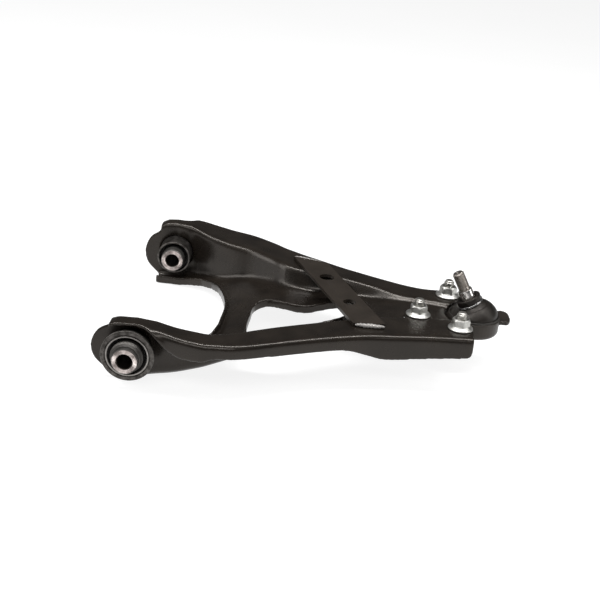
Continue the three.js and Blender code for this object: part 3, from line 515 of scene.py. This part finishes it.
base_z = (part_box("dust_boot")[0].z - BALL.z) / MM
cap_low, cap_high = ((corner.z - BALL.z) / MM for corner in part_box("ball_joint_cap"))
cap = turned("closing_cap", [
    (0, cap_high - 0.5), (9.0, cap_high - 0.5), (10.4, cap_high), (13.1, cap_high),
    (13.1, cap_low), (10.6, cap_low), (9.4, cap_low + 0.6), (0, cap_low + 0.6),
], BALL, Z, forged_black, 56)
hand_over(cap, "arm", "forged_housing", "ball_joint_cap")

for node, material in (("ball_seat", seat_plastic), ("seat_pressure_disc", spring_steel)):
    slots = frame["nodes"][node].data.materials
    slots.clear()
    slots.append(material)

# The stud: ball, neck, bright shank, and a thread of rolled turns.
stud_outline = [(0, -STUD_BALL)]
for count in range(1, 15):
    angle = math.radians(-90 + count * 10)
    stud_outline.append((STUD_BALL * math.cos(angle), STUD_BALL * math.sin(angle)))
stud_outline += [
    (5.6, 9.6), (5.5, 10.2), (5.9, 11.2), (7.1, 12.8), (7.1, 25.4), (6.9, 26.0), (6.0, 26.5),
    (5.1, 26.7), (4.9, 27.6), (4.9, 43.6), (5.3, 44.2), (4.6, 45.2), (1.6, 45.2), (1.2, 44.4),
    (0, 44.2),
]
stud_core = turned("stud_core", stud_outline, BALL, STUD_AXIS, stud_steel, 64)
stud_core.data.materials.append(shank_steel)
for polygon in stud_core.data.polygons:
    along = (polygon.center - BALL).dot(STUD_AXIS) / MM
    if BRIGHT_SHANK[0] < along < BRIGHT_SHANK[1]:
        polygon.material_index = 1


def thread(name, root, crest, start, stop, pitch, foot, axis, material):
    """A rolled thread: one tooth carried round and up its axis, closed at both ends."""
    turns = int((stop - start) / pitch)
    piece = drawn([
        (root, 0), (crest, 0.36 * pitch), (crest, 0.58 * pitch), (root, 0.94 * pitch),
        (root, pitch),
    ], start)
    done()
    modified(piece, "SCREW", angle=2 * math.pi, screw_offset=pitch * MM, iterations=turns, steps=32,
             render_steps=32, use_merge_vertices=True, merge_threshold=1e-6, axis="Z")
    edit(piece)
    bpy.ops.mesh.select_all(action="SELECT")
    bpy.ops.mesh.remove_doubles(threshold=2e-6)
    bpy.ops.mesh.fill_holes(sides=0)
    bpy.ops.mesh.select_all(action="SELECT")
    bpy.ops.mesh.normals_make_consistent(inside=False)
    done()
    stand(piece, foot, axis)
    return smooth(settle(piece, name, material), 30)


stud_thread = thread("stud_thread", 4.75, 5.7, 27.0, 44.6, 1.5, BALL, STUD_AXIS, stud_steel)
hand_over(stud_core, "stud", "stud_steel", "ball_stud")
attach(stud_thread, "stud")

# The boot: a flat dome on the housing, which narrows to a neck on the leaning stud. It is made in
# two lengths that meet at SEAM: the skirt runs from the arm to the boot's body, and the collar on
# to the neck's. A profile's row is (share of the way to the neck, radius in mm, rise in mm).
BOOT_NECK = 10.0
LEAN = math.atan2(-STUD_AXIS.x, STUD_AXIS.z)
BOOT_BASE = Vector((BALL.x, BALL.y, BALL.z + base_z * MM))
BOOT_TOP = BALL + STUD_AXIS * BOOT_NECK * MM
SEAM = 0.8
SEAM_RADIUS = 16.5


def boot_ring(share, radius, rise=0.0):
    """A ring of points round the boot's axis, which leans more with each share of the way."""
    centre = BOOT_BASE.lerp(BOOT_TOP, share)
    turn = Matrix.Rotation(-LEAN * share, 3, "Y")
    points = []
    for count in range(BOOT_SIDES):
        angle = 2 * math.pi * count / BOOT_SIDES
        offset = Vector((radius * math.cos(angle), radius * math.sin(angle), rise))
        points.append(centre + turn @ offset * MM)
    return points


boot_outside = [
    (0, 23.2, 0), (0.01, 24.0, 0), (0.05, 24.0, 0), (0.09, 23.4, 0), (0.13, 23.6, 0),
    (0.2, 23.9, 0), (0.3, 23.6, 0), (0.4, 22.8, 0), (0.5, 21.6, 0), (0.62, 19.9, 0),
    (0.72, 18.1, 0), (SEAM, SEAM_RADIUS, 0),
]
boot_upper = [
    (SEAM, SEAM_RADIUS, 0), (0.84, 15.6, 0), (0.88, 14.7, 0), (0.94, 13.1, 0), (1, 12.0, 0),
    (1, 11.6, 0.9), (1, 11.6, 2.3), (1, 12.1, 3.2), (1, 11.9, 5.2), (1, 12.2, 6.8), (1, 12.0, 7.6),
    (1, 11.2, 8.0), (1, 10.2, 7.8), (1, 9.0, 6.9), (1, 7.7, 6.3), (1, 7.4, 5.6), (1, 7.4, 3.4),
    (1, 9.2, 2.0),
]


def lofted(name, rings, material):
    """Rings of points joined one after the other, the last to the first."""
    bpy.ops.mesh.primitive_circle_add(vertices=BOOT_SIDES, radius=MM, fill_type="NOTHING")
    piece = bpy.context.object
    edit(piece)
    bpy.ops.mesh.select_all(action="SELECT")
    for number, ring in enumerate(rings):
        if number:
            bpy.ops.mesh.extrude_region_move()
        net = bmesh.from_edit_mesh(piece.data)
        layer = net.verts.layers.int.get("slot") or net.verts.layers.int.new("slot")
        chosen = [vertex for vertex in net.verts if vertex.select]
        if not number:
            chosen.sort(key=lambda v: math.atan2(v.co.y, v.co.x) % (2 * math.pi))
            for count, vertex in enumerate(chosen):
                vertex[layer] = count
        for vertex in chosen:
            vertex.co = ring[vertex[layer]]
        bmesh.update_edit_mesh(piece.data)
    bpy.ops.mesh.select_all(action="SELECT")
    bpy.ops.mesh.remove_doubles(threshold=1e-7)
    bpy.ops.mesh.select_all(action="DESELECT")
    bpy.ops.mesh.select_non_manifold()
    bpy.ops.mesh.bridge_edge_loops()
    bpy.ops.mesh.select_all(action="SELECT")
    bpy.ops.mesh.normals_make_consistent(inside=False)
    done()
    return smooth(settle(piece, name, material), 60)


def wall_inside(profile, wall=2.2):
    """The profile's unraised rows run backwards, one wall further in."""
    return [(share, radius - wall, 0) for share, radius, rise in reversed(profile) if rise == 0]


boot_inside = wall_inside(boot_outside)[:-3] + [(0, 20.8, 0)]
skirt_rings = [boot_ring(*row) for row in boot_outside + boot_inside]
boot_skirt = lofted("boot_skirt", skirt_rings, boot_rubber)
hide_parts("dust_boot")
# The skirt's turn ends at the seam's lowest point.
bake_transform(boot_skirt)

upper_rings = [boot_ring(*row) for row in boot_upper + wall_inside(boot_upper[:6])]
boot_collar = lofted("boot_collar", upper_rings, boot_rubber)
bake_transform(boot_collar)


def wire_clip(node, name, radius, centre, axis, body, material):
    """A round wire wound twice, with its two coils side by side."""
    bpy.ops.mesh.primitive_torus_add(major_radius=radius * MM, minor_radius=WIRE_RADIUS * MM,
                                     major_segments=96, minor_segments=12)
    piece = bpy.context.object
    edit(piece)
    net = bmesh.from_edit_mesh(piece.data)
    for vertex in net.verts:
        angle = math.atan2(vertex.co.y, vertex.co.x)
        vertex.co.z += WIRE_WANDER * MM * math.sin(angle)
    bmesh.update_edit_mesh(piece.data)
    bpy.ops.mesh.select_all(action="SELECT")
    bpy.ops.mesh.duplicate_move(TRANSFORM_OT_translate={"value": (0, 0, WIRE_PITCH * MM)})
    done()
    stand(piece, centre - axis * 0.4 * MM, axis)
    smooth(settle(piece, name, material), 60)
    hand_over(piece, body, "ring_wire", node)


upper_centre = BOOT_TOP + STUD_AXIS * 1.6 * MM
wire_clip("boot_upper_ring", "neck_clip", 12.35, upper_centre, STUD_AXIS, "boot_neck", wire_steel)
low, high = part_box("boot_lower_ring")
lower_centre = Vector((BALL.x, BALL.y, (low.z + high.z) / 2))
# The base clip is near-black, painted shade where it sits under the boot's edge.
wire_clip("boot_lower_ring", "base_clip", 24.3, lower_centre, Z, "arm", shade_dark_wire)


# ---- Bolts and flange nuts ----
def hexagon(flats, height, middle, turn):
    """A six-sided block on Z, with its sizes and its middle's height in mm."""
    bpy.ops.mesh.primitive_cylinder_add(
        vertices=6, radius=flats / math.sqrt(3) * MM, depth=height * MM,
        location=(0, 0, middle * MM), rotation=(0, 0, turn))
    piece = bpy.context.object
    bpy.ops.object.transform_apply(location=True, rotation=True, scale=True)
    return piece


def hex_nut(name, seat, turn):
    piece = hexagon(NUT_FLATS, 10.6, 5.7, turn)
    combined(piece, "INTERSECT", turned("crown", [
        (0, 0.3), (11.6, 0.3), (11.9, 0.7), (11.9, 1.4), (11.4, 1.9), (9.6, 2.9), (9.2, 4.0),
        (9.2, 8.4), (7.0, 10.9), (0, 10.9),
    ], Vector(), Z, zinc_bright, 64))
    combined(piece, "UNION", turned("flange", [
        (4.0, 0.3), (11.5, 0.3), (11.9, 0.6), (11.9, 1.3), (11.5, 1.8), (9.9, 2.5), (8.7, 3.4),
        (8.0, 4.4), (4.0, 4.4),
    ], Vector(), Z, zinc_bright, 64))
    combined(piece, "DIFFERENCE", turned("bore", [
        (0, -2), (5.3, -2), (5.3, 9.6), (6.6, 11.2), (0, 11.2),
    ], Vector(), Z, zinc_bright, 48))
    bevelled(piece, 0.28, 2, 28)
    piece.matrix_world = Matrix.Translation(seat)
    return smooth(settle(piece, name, zinc_bright), 30)


def hex_bolt(name, seat, turn, foot):
    """A bolt whose head starts at foot, in mm from the seat, and whose stem ends over the nut."""
    top = foot + HEAD_HEIGHT
    piece = hexagon(HEAD_FLATS, HEAD_HEIGHT, foot + HEAD_HEIGHT / 2, turn)
    combined(piece, "INTERSECT", turned("crown", [
        (0, foot), (7.4, foot), (9.4, foot + 1.6), (9.4, top), (0, top),
    ], Vector(), Z, zinc_bolt, 48))
    combined(piece, "UNION", turned("stem", [
        (0, foot + 3.0), (8.0, foot + 4.6), (9.3, foot + 4.8), (9.4, top), (4.6, top), (4.4, 9.0),
        (4.2, 15.4), (3.9, 16.4), (2.9, 17.0), (0, 17.0),
    ], Vector(), Z, zinc_bolt, 48))
    bevelled(piece, 0.25, 2, 28)
    piece.matrix_world = Matrix.Translation(seat)
    return smooth(settle(piece, name, zinc_bolt), 30)


for place, turn in (("inboard", 0.1), ("rear", 0.42), ("front", 0.25)):
    low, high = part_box(f"{place}_flange_nut")
    seat = Vector(((low.x + high.x) / 2, (low.y + high.y) / 2, low.z - 0.3 * MM))
    nut = hex_nut(f"{place}_nut", seat, turn)
    hand_over(nut, "arm", "zinc", f"{place}_flange_nut")
    foot = (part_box(f"{place}_bolt")[0].z - seat.z) / MM
    bolt = hex_bolt(f"{place}_bolt_body", seat, turn, foot)
    hand_over(bolt, "arm", "zinc", f"{place}_bolt")
    end_thread = thread(f"{place}_bolt_thread", 4.25, 5.0, 8.2, 15.6, 1.25, seat, Z, zinc_bolt)
    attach(end_thread, "arm")

# ---- Floor, light and camera ----
LAMP_AIM = Vector((0, 0, 0.02))
CAMERA_LENS, CAMERA_SENSOR = 70.7, 36
CAMERA_ANGLES = (1.87, 23.01, 5.30)  # azimuth, elevation and roll in degrees
CAMERA_REACH = Vector((0.1805, -0.9398, 0.4716))
bpy.ops.mesh.primitive_plane_add(size=14, location=(0, 0, -0.0005))
floor = bpy.context.object
floor.name = "floor"
plain = Finish("floor_white", Roughness=0.9, Emission_Color=(1, 1, 1, 1), Emission_Strength=0.86)
plain.colour(plain.ramp(plain.noise(3, 2), (0.3, 0.24), (0.7, 0.26)))
floor.data.materials.append(plain.material)
floor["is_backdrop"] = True


def lamp(name, place, size, power):
    """A rectangular lamp turned towards the arm."""
    data = bpy.data.lights.new(name, "AREA")
    data.shape = "RECTANGLE"
    data.size, data.size_y = size
    data.energy = power
    light = bpy.data.objects.new(name, data)
    light.location = place
    light.rotation_euler = (LAMP_AIM - Vector(place)).to_track_quat("-Z", "Y").to_euler()
    bpy.context.scene.collection.objects.link(light)


lamp("overhead_strip", (0.0, 0.0, 1.5), (2.4, 0.16), 38)
lamp("front_softbox", (-0.3, -1.5, 1.5), (2.0, 0.5), 16)
lamp("left_strip", (-1.5, -0.2, 0.8), (0.4, 1.4), 9)
lamp("right_strip", (1.5, -0.2, 0.8), (0.4, 1.4), 9)

# The backdrop is white to the eye and dimmer as a light.
world = bpy.data.worlds.new("studio")
world.use_nodes = True
sky = world.node_tree
backdrop = sky.nodes["Background"]
backdrop.inputs["Color"].default_value = (1, 1, 1, 1)
seen = sky.nodes.new("ShaderNodeLightPath")
strength = sky.nodes.new("ShaderNodeMapRange")
strength.inputs["To Min"].default_value = 0.07
strength.inputs["To Max"].default_value = 1.0
sky.links.new(seen.outputs["Is Camera Ray"], strength.inputs["Value"])
sky.links.new(strength.outputs["Result"], backdrop.inputs["Strength"])
bpy.context.scene.world = world
bpy.context.scene.view_settings.view_transform = "Standard"

camera_data = bpy.data.cameras.new("camera")
camera_data.lens = CAMERA_LENS
camera_data.sensor_width = CAMERA_SENSOR
camera = bpy.data.objects.new("camera", camera_data)
azimuth, elevation, roll = (math.radians(angle) for angle in CAMERA_ANGLES)
back = Vector((
    math.sin(azimuth) * math.cos(elevation), -math.cos(azimuth) * math.cos(elevation),
    math.sin(elevation)))
level = Z.cross(back).normalized()
upright = back.cross(level)
right = level * math.cos(roll) + upright * math.sin(roll)
upward = upright * math.cos(roll) - level * math.sin(roll)
axes = Matrix((right, upward, back)).transposed().to_4x4()
# The camera's reach is measured from a point on the front bush's axis.
bush_zero = Vector((BUSH_AXIS["front"].x, BUSH_AXIS["front"].y - 23 * MM, BUSH_AXIS["front"].z))
camera.matrix_world = Matrix.Translation(bush_zero + CAMERA_REACH) @ axes
bpy.context.scene.collection.objects.link(camera)
bpy.context.scene.camera = camera

low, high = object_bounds()
